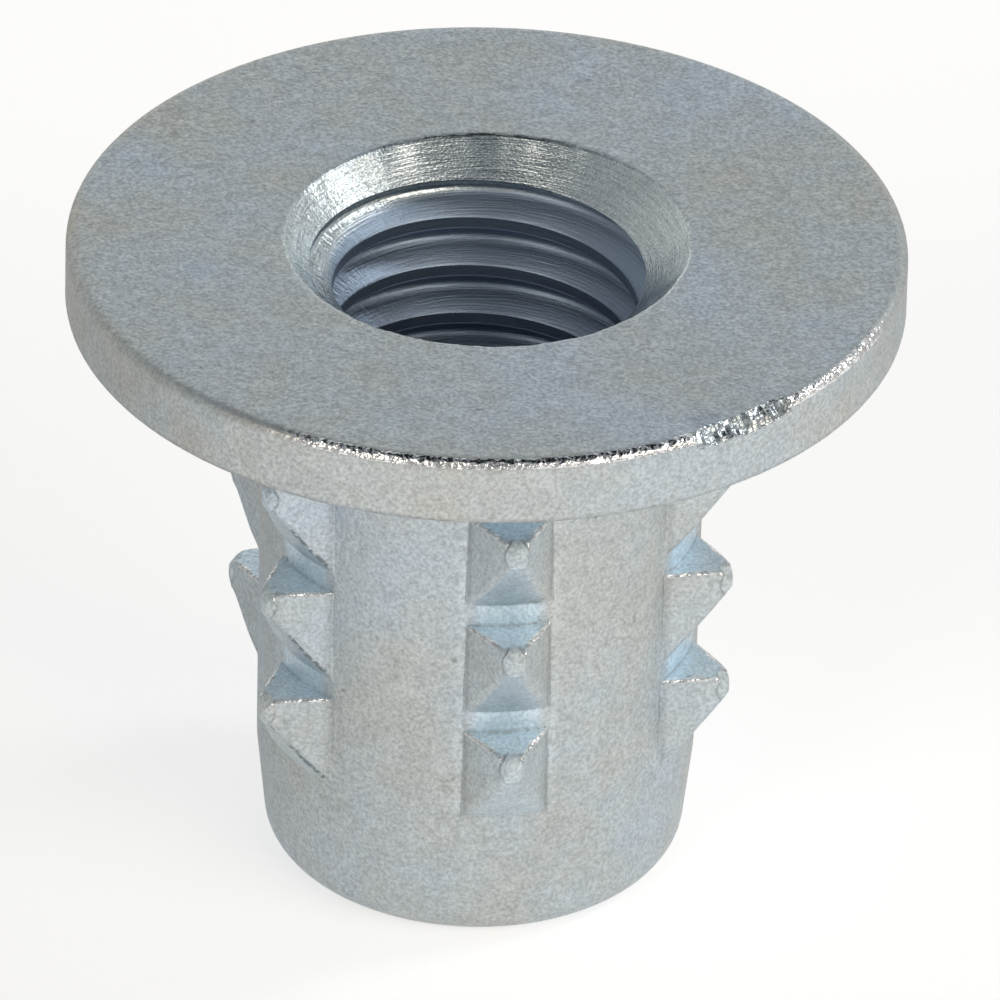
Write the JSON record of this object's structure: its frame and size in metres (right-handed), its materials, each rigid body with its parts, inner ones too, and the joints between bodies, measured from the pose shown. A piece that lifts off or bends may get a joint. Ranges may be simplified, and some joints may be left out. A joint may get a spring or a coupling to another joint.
{
  "type": "threaded insert",
  "caption": "Flanged knock-in threaded insert for wood: a round flange with a countersunk, tapped through bore on a slim sleeve with columns of shark-fin barbs.",
  "frame": {"origin": "centre of the sleeve's end, on the bore's axis", "axes": "+Z along the bore, from the sleeve's end to the flange's face; -Y through one column of barbs"},
  "size_m": [0.0186, 0.0186, 0.0155],
  "materials": {
    "zinc_plated_casting": "satin, fine cast grain"
  },
  "bodies": {
    "root": {"insert": "zinc_plated_casting"}
  },
  "joints": []
}
